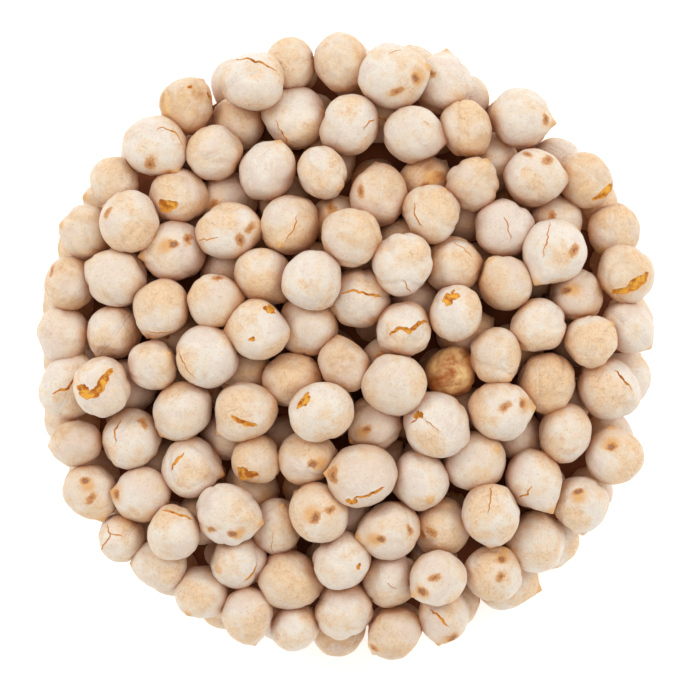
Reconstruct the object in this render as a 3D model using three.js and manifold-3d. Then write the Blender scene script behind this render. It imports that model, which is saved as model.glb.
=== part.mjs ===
// A round heap of roasted chickpeas on a bare surface, seen in the photo from straight above.
//
// Frame: millimetres, +Z up. The origin is the middle of the heap where it meets the surface, +X is right and
// +Y is up in the view from above.
//
// The heap is one solid: a core, and on it every pea that shows, fused where it sinks in. A chickpea has a
// pointed beak at one end and a shallow furrow down its back. Its own frame has the beak along +X and the
// back along +Z, so its belly, with the eye, is towards -Z.

import * as THREE from "three";
import { mergeVertices } from "three/addons/utils/BufferGeometryUtils.js";
import Module from "manifold-3d";

// ---- Driving sizes, in mm ----

const SEED = 20; // of every random draw
const HEAP_RADIUS = 52; // to the outermost of the top peas
const RIM_HEIGHT = 17.4; // two peas deep at the edge
const MIDDLE_HEIGHT = 27.5;
const PEA_WIDTH = 9.4; // the usual pea
const NARROWEST_PEA = 8.4;
const WIDEST_PEA = 10.2;

const CORE_RADIUS = 45.6;
const CORE_FOOT_RADIUS = 44; // the flat face that the heap rests on
const CORE_COVER = 5.2; // how far the core lies under the heap's surface
const CORE_SIDES = 28;
const CORE_RINGS = 4;

// ---- How the peas lie ----

const PINCH = 0.97; // peas that touch are this share of their two radii apart, as they aren't quite round
const LEAST_ROOM = 2.2; // radius of the smallest gap that another top pea goes into
const SHAKES = 12; // each time a pea is added
const SHAKE_SHARE = 0.3; // of the way apart, in each shake
const GRID_STEP = 0.8; // spacing of the places tried
const UNEVENNESS = 1.2; // how far a top pea lies above or below the even surface
const FILL_DROP = 0.6; // how far a pea that fills a gap lies below the others
const SETTLING_ROUNDS = 240;
const NOTED_GIVE = 0.3; // how readily a noted pea moves: a pea that fills a gap has 1, and the foot has 0
const RETURN_SHARE = 0.04; // of its way back to the even surface, in each round
const TOP_SET_BACK = 0.5; // of a pea that fills a gap at the rim
const MOST_RISE = 3; // of a pea that its neighbours push up
const FOOT_RADIUS = 53; // the heap is widest at its foot
const FOOT_PEAS = 30;
const NARROWEST_FOOT_PEA = 8.4;
const WIDEST_FOOT_PEA = 10.4;
const FOOT_SET_BACK = 1.6; // at most, from the foot's radius
const CLEAR_OF_TABLE = 1.15; // of a foot pea's middle, in its radii, so that only the core's foot is at z = 0
const STEEPEST = 40; // pitch of a drawn pea, up or down

// Pitch, the beak's rise above level, and roll about the beak that bring each side of a pea to the top.
const SIDES_UP = { back: [-8, 10], side: [-5, 75], belly: [5, 190], tail: [-58, 15] };

// The peas that catch the eye: the place of the middle, the width, the direction of the beak seen from above,
// the side that is up, and how far the pea lies above the even surface.
const NOTED_PEAS = [
  // x, y, width, turn, side up, lift
  [-9.3, 47.2, 8.7, 30, "tail", -4],
  [-0.6, 47.2, 9.2, -60, "back", 0],
  [7.7, 44.7, 10.6, 15, "belly", 1.5],
  [-15, 43.8, 10.1, -160, "back", 0.5],
  [-26.3, 40, 9.1, 60, "back", -0.5],
  [-8.5, 38.2, 10.9, 120, "tail", 0],
  [28.8, 38.2, 9.8, -9, "belly", 1],
  [0.8, 36.7, 10.1, -110, "tail", 0],
  [19.8, 36.3, 9.1, -64, "side", 0],
  [11, 35.2, 10.2, -18, "side", 0],
  [-31.5, 33.2, 9.9, -45, "belly", 1],
  [31, 28.2, 9.9, -16, "side", 1],
  [39.7, 28, 9.2, 140, "back", -0.5],
  [-27.7, 25.2, 9.2, -30, "side", -1],
  [5.3, 24.8, 9.7, 90, "back", -0.5],
  [-35.3, 20.7, 9.6, 148, "back", 1],
  [26.2, 19.7, 9.8, 70, "tail", 0],
  [44.5, 19.5, 9, -90, "back", 0],
  [-19.2, 19.2, 9.8, 10, "belly", 0],
  [-28, 15.8, 9.9, -170, "belly", 0],
  [34.3, 15.8, 10.2, -120, "belly", 1.5],
  [9.3, 13.5, 10, 30, "tail", 1],
  [46.2, 12.2, 9.4, 100, "side", -1.5],
  [-37.5, 11.7, 9.8, 143, "side", 0.5],
  [-5.3, 11, 9.9, -57, "back", 1],
  [2.2, 8.2, 10.1, -160, "tail", 0],
  [-30, 6.5, 9.3, -128, "side", 1],
  [18, 5.7, 9.1, -86, "back", 1],
  [-14.2, 3, 9.5, 170, "side", 1],
  [9.7, 3, 9.3, -151, "side", 0.5],
  [-47.2, 2.2, 9.2, -81, "side", -1],
  [-22.5, -1.5, 10.2, 80, "tail", 1],
  [17.2, -4.2, 8.3, 60, "back", -3],
  [-8.7, -5.3, 9.5, 0, "side", -1],
  [-39.8, -6.3, 9.6, 30, "tail", 1],
  [43.5, -6.7, 10.5, 160, "tail", 1],
  [-16.3, -10.2, 9.5, -153, "side", 0],
  [25.3, -10.2, 10.2, 8, "belly", 1],
  [-4, -10.3, 10.2, -60, "tail", 1],
  [4.8, -12.2, 9.3, -138, "belly", -2],
  [14.7, -12.5, 10.3, -45, "side", 1],
  [44.5, -18, 9.5, 100, "belly", 0.5],
  [-14.5, -18.2, 7.8, -140, "back", -2],
  [2.7, -20.7, 10.4, 178, "belly", 1.5],
  [-42.3, -23.7, 9, -63, "belly", -0.5],
  [-33.5, -24.3, 9.1, 174, "belly", 0.5],
  [-19.3, -27.3, 10.1, -10, "belly", 1.5],
  [23.8, -27.3, 9.8, -105, "side", 2],
  [7.3, -29.8, 9.8, -165, "belly", -0.5],
  [-28, -30.3, 9, 90, "tail", 0],
  [-37.2, -31.5, 8.2, 60, "tail", 0],
  [-0.7, -35.2, 9.7, 140, "tail", 0.5],
  [24.3, -37.3, 9.2, 66, "belly", 0.5],
  [15, -37.7, 9, -144, "belly", 1],
  [8.3, -47.3, 9.1, -148, "side", -0.5],
];

// ---- Low relief of one pea, as shares of its radius ----

const PEA_STRETCH = new THREE.Vector3(1.03, 1.0, 0.97); // along the beak, across the lobes, back to belly
const BEAK_RISE = 0.2;
const FURROW_DEPTH = 0.05;
const FURROW_HALF_WIDTH = 0.3;
const LUMP = 0.025;
// Faces round and along a pea, and how far its points are moved out, as flat faces lie inside the round pea.
const TOP_PEA_FACES = [8, 4, 1.05];
const FOOT_PEA_FACES = [6, 4, 1.08];

// A seeded draw from 0 to 1: the minimal standard generator.
function drawer(seed) {
  let state = seed;
  return () => {
    state = (state * 16807) % 2147483647;
    return state / 2147483647;
  };
}

// Height of the even surface over the table.
function surfaceHeight(x, y) {
  const share = (x * x + y * y) / (HEAP_RADIUS * HEAP_RADIUS);
  return RIM_HEIGHT + (MIDDLE_HEIGHT - RIM_HEIGHT) * (1 - share);
}

function distance(x, y, pea) {
  return Math.sqrt((x - pea.x) * (x - pea.x) + (y - pea.y) * (y - pea.y));
}

// Places to try for another pea: a square grid over the heap's circle.
function gridPlaces() {
  const places = [];
  const steps = Math.ceil(HEAP_RADIUS / GRID_STEP);
  for (let row = -steps; row <= steps; row++) {
    for (let column = -steps; column <= steps; column++) {
      const x = column * GRID_STEP;
      const y = row * GRID_STEP;
      if (x * x + y * y < HEAP_RADIUS * HEAP_RADIUS) places.push([x, y]);
    }
  }
  return places;
}

// The top layer: the noted peas, then one pea after another in the middle of the widest gap that is left.
function topLayer(draw) {
  const peas = NOTED_PEAS.map(([x, y, width, turn, side, level]) => {
    const [pitch, roll] = SIDES_UP[side];
    return { x, y, radius: width / 2, turn, pitch, roll, level, give: NOTED_GIVE };
  });
  const places = gridPlaces();
  for (;;) {
    let room = 0;
    let found = null;
    for (const [x, y] of places) {
      let here = HEAP_RADIUS - Math.sqrt(x * x + y * y);
      for (const pea of peas) {
        here = Math.min(here, distance(x, y, pea) - pea.radius);
        if (here <= room) break;
      }
      if (here > room) {
        room = here;
        found = [x, y];
      }
    }
    if (room < LEAST_ROOM) return peas;
    const width = NARROWEST_PEA + (WIDEST_PEA - NARROWEST_PEA) * draw();
    const level = UNEVENNESS * (2 * draw() - 1) - FILL_DROP;
    peas.push({ x: found[0], y: found[1], radius: width / 2, ...anyPose(draw), level, give: 1 });
    shakeApart(peas);
  }
}

// Moves the peas that fill gaps away from their neighbours and inside the rim. The noted peas stay.
function shakeApart(peas) {
  for (let round = 0; round < SHAKES; round++) {
    for (const pea of peas) {
      if (pea.give < 1) continue;
      let [moveX, moveY] = [0, 0];
      for (const other of peas) {
        const apart = distance(pea.x, pea.y, other);
        const short = pea.radius + other.radius - apart;
        if (other === pea || short <= 0 || apart === 0) continue;
        moveX += (SHAKE_SHARE * short * (pea.x - other.x)) / apart;
        moveY += (SHAKE_SHARE * short * (pea.y - other.y)) / apart;
      }
      pea.x += moveX;
      pea.y += moveY;
      keepInside(pea);
    }
  }
}

function anyPose(draw) {
  return { turn: 360 * draw(), pitch: STEEPEST * (2 * draw() - 1), roll: 360 * draw() };
}

// The course that stands on the table. Each pea takes as much of the way round the foot as it is wide.
function footCourse(draw) {
  const widths = [];
  for (let i = 0; i < FOOT_PEAS; i++) {
    widths.push(NARROWEST_FOOT_PEA + (WIDEST_FOOT_PEA - NARROWEST_FOOT_PEA) * draw());
  }
  const whole = widths.reduce((sum, width) => sum + width, 0);
  const peas = [];
  let taken = 0;
  for (const width of widths) {
    const angle = (2 * Math.PI * (taken + width / 2)) / whole;
    taken += width;
    const radius = width / 2;
    const out = FOOT_RADIUS - radius - FOOT_SET_BACK * draw();
    const [x, y, z] = [out * Math.cos(angle), out * Math.sin(angle), radius * CLEAR_OF_TABLE];
    peas.push({ x, y, z, radius, ...anyPose(draw), foot: true, give: 0 });
  }
  return peas;
}

// Sets the top peas on the even surface, then moves apart those that cross.
function settle(top, foot) {
  for (const pea of top) {
    pea.rest = surfaceHeight(pea.x, pea.y) - pea.radius + pea.level;
    pea.z = pea.rest;
  }
  const peas = [...top, ...foot];
  for (let round = 0; round < SETTLING_ROUNDS; round++) {
    for (let i = 0; i < top.length; i++) {
      for (let j = i + 1; j < peas.length; j++) moveApart(peas[i], peas[j]);
    }
    for (const pea of top) {
      if (round < SETTLING_ROUNDS - 1) pea.z += RETURN_SHARE * (pea.rest - pea.z);
      pea.z = Math.max(Math.min(pea.z, pea.rest + MOST_RISE), pea.radius * CLEAR_OF_TABLE);
      if (pea.give === 1) keepInside(pea);
    }
  }
}

function moveApart(a, b) {
  const reach = PINCH * (a.radius + b.radius);
  const [dx, dy, dz] = [a.x - b.x, a.y - b.y, a.z - b.z];
  const apart = Math.sqrt(dx * dx + dy * dy + dz * dz);
  if (apart >= reach || apart === 0) return;
  const push = (reach - apart) / apart / (a.give + b.give);
  for (const [pea, move] of [[a, push * a.give], [b, -push * b.give]]) {
    pea.z += move * dz;
    if (pea.give < 1) continue;
    pea.x += move * dx;
    pea.y += move * dy;
  }
}

function keepInside(pea) {
  const out = Math.sqrt(pea.x * pea.x + pea.y * pea.y);
  const reach = HEAP_RADIUS - TOP_SET_BACK - pea.radius;
  if (out <= reach) return;
  pea.x *= reach / out;
  pea.y *= reach / out;
}

// One pea's faces: rings of points about the line of the beak, moved out to the shape of a chickpea.
function peaGeometry(pea, number) {
  const [sides, bands, swell] = pea.foot ? FOOT_PEA_FACES : TOP_PEA_FACES;
  const ball = new THREE.SphereGeometry(1, sides, bands).rotateZ(-Math.PI / 2);
  ball.deleteAttribute("normal");
  ball.deleteAttribute("uv");
  const geometry = mergeVertices(ball, 1e-4);
  const points = geometry.getAttribute("position");
  const point = new THREE.Vector3();
  for (let i = 0; i < points.count; i++) {
    point.fromBufferAttribute(points, i).normalize();
    const wave = Math.sin(number * 2.4 + 3 * point.x + 4 * point.y) * Math.cos(number + 5 * point.z);
    let share = swell + LUMP * wave;
    if (point.x > 0.99) share += BEAK_RISE;
    if (point.z > 0.2 && Math.abs(point.y) < FURROW_HALF_WIDTH) share -= FURROW_DEPTH;
    point.multiplyScalar(share * pea.radius).multiply(PEA_STRETCH);
    points.setXYZ(i, point.x, point.y, point.z);
  }
  return geometry.applyMatrix4(peaMatrix(pea));
}

// Where a pea lies and how it is turned: roll about its beak, then pitch, then turn about the vertical.
function peaMatrix(pea) {
  const { turn, pitch, roll } = pea;
  const angles = new THREE.Euler(
    THREE.MathUtils.degToRad(roll),
    THREE.MathUtils.degToRad(-pitch),
    THREE.MathUtils.degToRad(turn),
    "ZYX",
  );
  const place = new THREE.Vector3(pea.x, pea.y, pea.z);
  return new THREE.Matrix4().makeRotationFromEuler(angles).setPosition(place);
}

// The core: a low dome with a flat foot.
function coreGeometry() {
  const profile = [new THREE.Vector2(0, 0), new THREE.Vector2(CORE_FOOT_RADIUS, 0)];
  const footRise = CORE_RADIUS - CORE_FOOT_RADIUS;
  profile.push(new THREE.Vector2(CORE_RADIUS, footRise));
  for (let ring = CORE_RINGS; ring >= 0; ring--) {
    const radius = (CORE_RADIUS * ring) / CORE_RINGS;
    profile.push(new THREE.Vector2(radius, surfaceHeight(radius, 0) - CORE_COVER));
  }
  return new THREE.LatheGeometry(profile, CORE_SIDES).rotateX(Math.PI / 2);
}

const wasm = await Module();
wasm.setup();

function toSolid(geometry) {
  const bare = geometry.clone();
  bare.deleteAttribute("normal");
  bare.deleteAttribute("uv");
  const merged = mergeVertices(bare, 1e-4);
  return new wasm.Manifold(
    new wasm.Mesh({
      numProp: 3,
      vertProperties: new Float32Array(merged.getAttribute("position").array),
      triVerts: new Uint32Array(merged.index.array),
    }),
  );
}

function toGeometry(solid) {
  const { vertProperties, triVerts } = solid.getMesh();
  return new THREE.BufferGeometry()
    .setAttribute("position", new THREE.BufferAttribute(vertProperties, 3))
    .setIndex(new THREE.BufferAttribute(triVerts, 1));
}

function heapPeas() {
  const draw = drawer(SEED);
  const top = topLayer(draw);
  const foot = footCourse(draw);
  settle(top, foot);
  return [...top, ...foot];
}

function heapMesh() {
  let solid = toSolid(coreGeometry());
  heapPeas().forEach((pea, number) => {
    solid = solid.add(toSolid(peaGeometry(pea, number)));
  });
  // only the outer skin: no loose scrap, and no hollow that the peas close in
  const parts = solid.decompose().map(toGeometry);
  const outer = parts.reduce((most, part) => (part.index.count > most.index.count ? part : most));
  const skin = new THREE.MeshStandardMaterial({ color: 0xe6d2ba, roughness: 0.75, metalness: 0 });
  const mesh = new THREE.Mesh(outer, skin);
  mesh.name = "roasted_chickpea_heap";
  return mesh;
}

const heap = new THREE.Group();
heap.add(heapMesh());

export default heap;
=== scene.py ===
"""A round heap of roasted chickpeas on a bare surface, seen from straight above.

The peas lie by the same rule and the same seeded draws as in the part's solid: peas that catch the eye
lie where the photo shows them, others fill the gaps between them, and lower ones show underneath. Here
each one is a real pea, with its beak, furrow and creases, and with its cracks, holes, eye and brown spots.

Lengths are millimetres until the meshes are made. +X is right and +Y is up in the photo, and +Z is up.
A pea's own frame has the beak along +X and the back along +Z, so its belly, with the eye, is towards -Z.
"""

import math

import bmesh
import bpy
import numpy as np
from mathutils import Euler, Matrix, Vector


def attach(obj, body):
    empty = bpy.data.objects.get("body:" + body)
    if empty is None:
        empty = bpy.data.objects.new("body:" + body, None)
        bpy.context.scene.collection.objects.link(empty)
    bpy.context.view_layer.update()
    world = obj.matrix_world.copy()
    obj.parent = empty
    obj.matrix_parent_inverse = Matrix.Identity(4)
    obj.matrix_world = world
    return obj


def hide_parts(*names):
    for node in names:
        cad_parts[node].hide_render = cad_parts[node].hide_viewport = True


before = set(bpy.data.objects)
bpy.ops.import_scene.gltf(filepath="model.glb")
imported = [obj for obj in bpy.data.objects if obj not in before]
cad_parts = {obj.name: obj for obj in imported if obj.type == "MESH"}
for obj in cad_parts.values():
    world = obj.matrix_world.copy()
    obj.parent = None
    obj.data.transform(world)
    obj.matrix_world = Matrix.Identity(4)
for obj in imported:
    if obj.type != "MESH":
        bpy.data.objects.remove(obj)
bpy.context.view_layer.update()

NODE = "roasted_chickpea_heap"
MM = 0.001

# ---- The heap: the part's own sizes ----

SEED = 20
HEAP_RADIUS = 52  # to the outermost of the top peas
RIM_HEIGHT = 17.4  # two peas deep at the edge
MIDDLE_HEIGHT = 27.5
PEA_WIDTH = 9.4  # the usual pea
NARROWEST_PEA = 8.4
WIDEST_PEA = 10.2

# ---- How the peas lie: the part's own rule ----

PINCH = 0.97  # peas that cross are pushed apart towards this share of their radii together
LEAST_ROOM = 2.2  # radius of the smallest gap that another top pea goes into
SHAKES = 12  # each time a pea is added
SHAKE_SHARE = 0.3  # of the way apart, in each shake
GRID_STEP = 0.8  # between the places that are tried
UNEVENNESS = 1.2  # how far a top pea lies above or below the even surface
FILL_DROP = 0.6  # how far a pea that fills a gap lies below the others
SETTLING_ROUNDS = 240
NOTED_GIVE = 0.3  # how readily a noted pea moves: a pea that fills a gap has 1, and the foot 0
RETURN_SHARE = 0.04  # of its way back to the even surface, in each round
TOP_SET_BACK = 0.5  # of a pea that fills a gap at the rim
MOST_RISE = 3  # of a pea that its neighbours push up
FOOT_RADIUS = 53
FOOT_PEAS = 30
NARROWEST_FOOT_PEA = 8.4
WIDEST_FOOT_PEA = 10.4
FOOT_SET_BACK = 1.6  # at most
CLEAR_OF_TABLE = 1.15  # of a foot pea's middle, in its radii
STEEPEST = 40  # pitch of a drawn pea, up or down

# ---- What lies under the peas that show ----

LOWER_STEP = 1.3  # between the places that are tried
LOWER_PINCH = 0.9  # nearest that a lower pea comes to another, as a share of their radii together
SMALLEST_LOWER, LOWER_SPREAD = 0.94, 0.1  # of the usual pea
DEEPEST = 14  # below the pea that would lie on top there
CORE_RADIUS = 47
CORE_FOOT_RADIUS = 38
CORE_WAIST = 6  # height at which the core is widest
CORE_COVER = 13  # of peas over it
CORE_FULLNESS = 0.3  # 1 is a round dome, and 0 a flat slab
CORE_LIFT = 0.2  # off the table
CORE_POINTS = 700
CORE_LUMPS, CORE_LUMPS_ACROSS = 0.05, 9

# Pitch and roll that bring each side of a pea to the top.
SIDES_UP = {"back": (-8, 10), "side": (-5, 75), "belly": (5, 190), "tail": (-58, 15)}

# The peas that catch the eye: the place of the middle, the width, the direction of the beak seen from
# above, the side that is up, how far the pea lies above the even surface, its tone, and its marks.
# A mark's places are seen from above, from the middle of the pea.
# tone is how brown the skin is, from -1, palest, to 1, and 2 is toasted.
# crack: the gap's width, then the places that it runs through. hole: width, place. eye and spot: place.
NOTED_PEAS = [
    (-9.3, 47.2, 8.7, 30, "tail", -4, 0.3, []),
    (-0.6, 47.2, 9.2, -60, "back", 0, 0.4, []),
    (7.7, 44.7, 10.6, 15, "belly", 1.5, -0.5, [("crack", 0.15, (-0.7, 3.3), (1.5, 3.8)), ("eye", (3.5, -1)),
                                               ("spot", (0.7, -3))]),
    (-15, 43.8, 10.1, -160, "back", 0.5, -0.6, [("crack", 0.35, (-3.6, 3.4), (-2.2, 3.6), (0.3, 3),
                                                 (3.9, 1.2))]),
    (-26.3, 40, 9.1, 60, "back", -0.5, 0.9, [("hole", 1.2, (3.7, 1.6)), ("hole", 0.7, (0.8, 2.7))]),
    (-8.5, 38.2, 10.9, 120, "tail", 0, -0.6, [("crack", 0.25, (-2.7, -0.5), (-1.8, -2.8), (0, -4.9))]),
    (28.8, 38.2, 9.8, -9, "belly", 1, -0.4, [("spot", (3.7, -0.5))]),
    (0.8, 36.7, 10.1, -110, "tail", 0, -0.5, [("crack", 0.25, (2.2, -1.2), (3.2, 0), (4.2, 0.8))]),
    (19.8, 36.3, 9.1, -64, "side", 0, 0.4, []),
    (11, 35.2, 10.2, -18, "side", 0, -0.3, [("crack", 0.15, (1.7, 1.8), (2.7, 0.8))]),
    (-31.5, 33.2, 9.9, -45, "belly", 1, -0.5, [("crack", 0.25, (0.8, 2.8), (2.2, 2.6), (3.5, 2), (4.4, -0.6)),
                                               ("spot", (2.2, -4)), ("spot", (-0.5, -3))]),
    (31, 28.2, 9.9, -16, "side", 1, -0.2, [("spot", (-1.2, 3.5)), ("spot", (2.2, 2.7))]),
    (39.7, 28, 9.2, 140, "back", -0.5, 0.6, [("crack", 1.4, (0.9, -3), (2.6, -2.2), (3.9, -0.3))]),
    (-27.7, 25.2, 9.2, -30, "side", -1, 0.5, [("hole", 2.6, (-1.5, -2))]),
    (5.3, 24.8, 9.7, 90, "back", -0.5, 0.7, [("spot", (-2.8, 0.7))]),
    (-35.3, 20.7, 9.6, 148, "back", 1, -0.1, [("spot", (-3.3, 1.2))]),
    (26.2, 19.7, 9.8, 70, "tail", 0, -0.5, [("crack", 0.2, (-0.3, 1.7), (0.7, -2.2))]),
    (44.5, 19.5, 9, -90, "back", 0, 0.9, []),
    (-19.2, 19.2, 9.8, 10, "belly", 0, -0.8, [("crack", 0.2, (-4.3, -1.5), (-1.2, -1.3)),
                                              ("spot", (3.5, 0.2)), ("spot", (2.2, -2))]),
    (-28, 15.8, 9.9, -170, "belly", 0, -0.3, [("eye", (0, 1.2)), ("spot", (2.3, 2.2))]),
    (34.3, 15.8, 10.2, -120, "belly", 1.5, -0.7, [("crack", 0.2, (-1, 4.5), (-1.7, 1.7), (-2.3, -1.2)),
                                                  ("spot", (2.8, 0))]),
    (9.3, 13.5, 10, 30, "tail", 1, -0.8, [("crack", 0.2, (0, -2.5), (1.3, -4.5))]),
    (46.2, 12.2, 9.4, 100, "side", -1.5, 0.4, [("crack", 1.7, (-2.4, -3.2), (0.7, -2.2), (3.4, 0.2))]),
    (-37.5, 11.7, 9.8, 143, "side", 0.5, 0, []),
    (-5.3, 11, 9.9, -57, "back", 1, -0.4, []),
    (2.2, 8.2, 10.1, -160, "tail", 0, -0.5, [("crack", 0.5, (-2.8, 0.7), (-1.2, 1), (1, 0.5), (3.5, 0))]),
    (-30, 6.5, 9.3, -128, "side", 1, 0.2, [("crack", 0.3, (-2, -3.5), (2.5, -3.4))]),
    (18, 5.7, 9.1, -86, "back", 1, -0.9, [("hole", 2.7, (-1.1, 2.5)),
                                           ("crack", 0.5, (-0.9, 3.2), (-0.4, 4.1))]),
    (-14.2, 3, 9.5, 170, "side", 1, -0.2, [("hole", 2, (2, 3.2)), ("hole", 0.9, (-0.8, -1.7))]),
    (9.7, 3, 9.3, -151, "side", 0.5, -0.4, [("crack", 0.75, (-2.7, -0.7), (-1, 0.3), (0.5, -0.3),
                                                (2.2, 1), (4, 1.6))]),
    (-47.2, 2.2, 9.2, -81, "side", -1, 0, []),
    (-22.5, -1.5, 10.2, 80, "tail", 1, -0.7, [("crack", 0.25, (-4.2, 1.3), (-3.3, -1), (-1.7, -3.3))]),
    (17.2, -4.2, 8.3, 60, "back", -3, 2, []),
    (-8.7, -5.3, 9.5, 0, "side", -1, 0.6, []),
    (-39.8, -6.3, 9.6, 30, "tail", 1, 0, [("hole", 2.3, (-2.6, -0.7)),
                                          ("crack", 1.3, (-3.2, -1.3), (-0.4, -1.1), (0.9, 0.9), (2.2, 3))]),
    (43.5, -6.7, 10.5, 160, "tail", 1, -0.6, [("crack", 0.45, (0.7, 3.2), (2, 1.8), (3.5, -0.2))]),
    (-16.3, -10.2, 9.5, -153, "side", 0, 0, [("crack", 0.9, (-1.7, -0.6), (-0.2, -1.7), (2, -2.2))]),
    (25.3, -10.2, 10.2, 8, "belly", 1, -0.6, [("eye", (3.3, 1.2)), ("spot", (0.5, 0.8))]),
    (-4, -10.3, 10.2, -60, "tail", 1, -0.6, [("hole", 2.5, (-2.7, 2))]),
    (4.8, -12.2, 9.3, -138, "belly", -2, 0.4, [("eye", (-1.3, -1))]),
    (14.7, -12.5, 10.3, -45, "side", 1, -0.7, [("hole", 1.6, (-3, 1.7)),
                                               ("crack", 0.25, (-3, 1.2), (-4.3, -0.2)),
                                               ("crack", 0.15, (-2, 1), (0.8, -1))]),
    (44.5, -18, 9.5, 100, "belly", 0.5, -0.1, [("eye", (-0.8, 1.7))]),
    (-14.5, -18.2, 7.8, -140, "back", -2, 0.8, [("hole", 3, (-1.7, -2.3))]),
    (2.7, -20.7, 10.4, 178, "belly", 1.5, 0.1, [("hole", 1.5, (-1.5, -3.8)), ("spot", (-4.4, 0.2)),
                                                ("crack", 0.55, (-1.2, -3.3), (1, -2.8), (3.3, -1.5))]),
    (-42.3, -23.7, 9, -63, "belly", -0.5, 0.1, [("eye", (-0.5, 2)), ("spot", (0.5, -1))]),
    (-33.5, -24.3, 9.1, 174, "belly", 0.5, 0, [("eye", (-3.5, 0.3))]),
    (-19.3, -27.3, 10.1, -10, "belly", 1.5, -0.6, [("eye", (1, -3)), ("spot", (-2.8, -2.5))]),
    (23.8, -27.3, 9.8, -105, "side", 2, -0.7, [("crack", 0.25, (0, 4.6), (-0.7, 0.3))]),
    (7.3, -29.8, 9.8, -165, "belly", -0.5, 0, [("eye", (-1.5, -1.3)), ("spot", (3.2, 0.2)),
                                               ("crack", 0.2, (-2.8, 2.7), (-0.8, 4.5))]),
    (-28, -30.3, 9, 90, "tail", 0, 0, [("crack", 0.6, (-1.8, 3.8), (0.7, 3.3), (3.2, 2.3))]),
    (-37.2, -31.5, 8.2, 60, "tail", 0, -0.3, [("crack", 0.25, (-2, 2.8), (-1.3, 1), (-2, -0.3), (-3.2, -2)),
                                              ("crack", 0.2, (-1.3, 1), (0.8, 0.7))]),
    (-0.7, -35.2, 9.7, 140, "tail", 0.5, -0.6, [("hole", 1, (2.8, -0.2))]),
    (24.3, -37.3, 9.2, 66, "belly", 0.5, -0.3, [("eye", (1.5, 2.7)), ("spot", (1.2, -0.2))]),
    (15, -37.7, 9, -144, "belly", 1, -0.1, [("eye", (-2.3, -1.7)), ("spot", (-0.5, 0.5))]),
    (8.3, -47.3, 9.1, -148, "side", -0.5, 0.7, [("spot", (-3.4, -2.1))]),
]

# Marks that show on the peas between the noted ones, with their places from the heap's middle.
GAP_MARKS = [
    ("spot", (14.2, 45.2)),
    ("crack", 0.3, (11.3, 23.6), (11.2, 21.6), (12.6, 19.8)),
    ("spot", (34.1, 21.7)),
    ("eye", (36.4, 9.4)),
    ("spot", (-20.6, 11.4)),
    ("spot", (-48.6, 13)),
    ("crack", 0.35, (-36.8, -11.6), (-38, -13.2), (-37.6, -15.6)),
    ("spot", (-33.1, -12.2)),
    ("crack", 0.5, (-26.4, -17.3), (-27.7, -18.3), (-28.6, -20)),
    ("eye", (-5.1, -19)),
    ("eye", (38.4, -23.6)),
    ("spot", (-2.4, -26)),
    ("eye", (-4.9, -27.3)),
    ("spot", (16.2, -24.6)),
    ("eye", (18.6, -24)),
    ("eye", (12.4, -30.6)),
    ("spot", (14, -30.2)),
    ("crack", 0.6, (-14.4, -35.2), (-15, -36.8), (-16.6, -38)),
    ("crack", 0.35, (13.6, -42.8), (15, -43.8), (17, -45.6)),
    ("eye", (17.6, -47.4)),
]


# ======== The layout, in the same steps as the part's ========


def drawer(seed):
    """A seeded draw from 0 to 1: the minimal standard generator."""
    state = seed

    def draw():
        nonlocal state
        state = (state * 16807) % 2147483647
        return state / 2147483647

    return draw


def surface_height(x, y):
    share = (x * x + y * y) / (HEAP_RADIUS * HEAP_RADIUS)
    return RIM_HEIGHT + (MIDDLE_HEIGHT - RIM_HEIGHT) * (1 - share)


def distance(x, y, pea):
    return math.sqrt((x - pea["x"]) * (x - pea["x"]) + (y - pea["y"]) * (y - pea["y"]))


def grid_places():
    steps = math.ceil(HEAP_RADIUS / GRID_STEP)
    line = np.arange(-steps, steps + 1) * GRID_STEP
    y, x = (side.ravel() for side in np.meshgrid(line, line, indexing="ij"))
    inside = x * x + y * y < HEAP_RADIUS * HEAP_RADIUS
    return x[inside], y[inside]


def any_pose(draw):
    return {"turn": 360 * draw(), "pitch": STEEPEST * (2 * draw() - 1), "roll": 360 * draw()}


def top_layer(draw):
    """The noted peas, then one pea after another in the middle of the widest gap that is left."""
    peas = []
    for x, y, width, turn, side, level, tone, marks in NOTED_PEAS:
        pitch, roll = SIDES_UP[side]
        pose = {"turn": turn, "pitch": pitch, "roll": roll}
        place = {"x": x, "y": y, "radius": width / 2, "level": level, "give": NOTED_GIVE}
        peas.append({**place, **pose, "tone": tone, "marks": marks, "noted": True})
    xs, ys = grid_places()
    while True:
        room = HEAP_RADIUS - np.sqrt(xs * xs + ys * ys)
        for pea in peas:
            away = np.sqrt((xs - pea["x"]) ** 2 + (ys - pea["y"]) ** 2)
            room = np.minimum(room, away - pea["radius"])
        widest = int(np.argmax(room))
        if room[widest] < LEAST_ROOM:
            return peas
        width = NARROWEST_PEA + (WIDEST_PEA - NARROWEST_PEA) * draw()
        level = UNEVENNESS * (2 * draw() - 1) - FILL_DROP
        place = {"x": float(xs[widest]), "y": float(ys[widest]), "radius": width / 2}
        peas.append({**place, **any_pose(draw), "level": level, "give": 1})
        shake_apart(peas)


def shake_apart(peas):
    """Moves the peas that fill gaps away from their neighbours and inside the rim. The noted peas stay."""
    for _ in range(SHAKES):
        for pea in peas:
            if pea["give"] < 1:
                continue
            move_x, move_y = 0.0, 0.0
            for other in peas:
                apart = distance(pea["x"], pea["y"], other)
                short = pea["radius"] + other["radius"] - apart
                if other is pea or short <= 0 or apart == 0:
                    continue
                move_x += (SHAKE_SHARE * short * (pea["x"] - other["x"])) / apart
                move_y += (SHAKE_SHARE * short * (pea["y"] - other["y"])) / apart
            pea["x"] += move_x
            pea["y"] += move_y
            keep_inside(pea)


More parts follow.
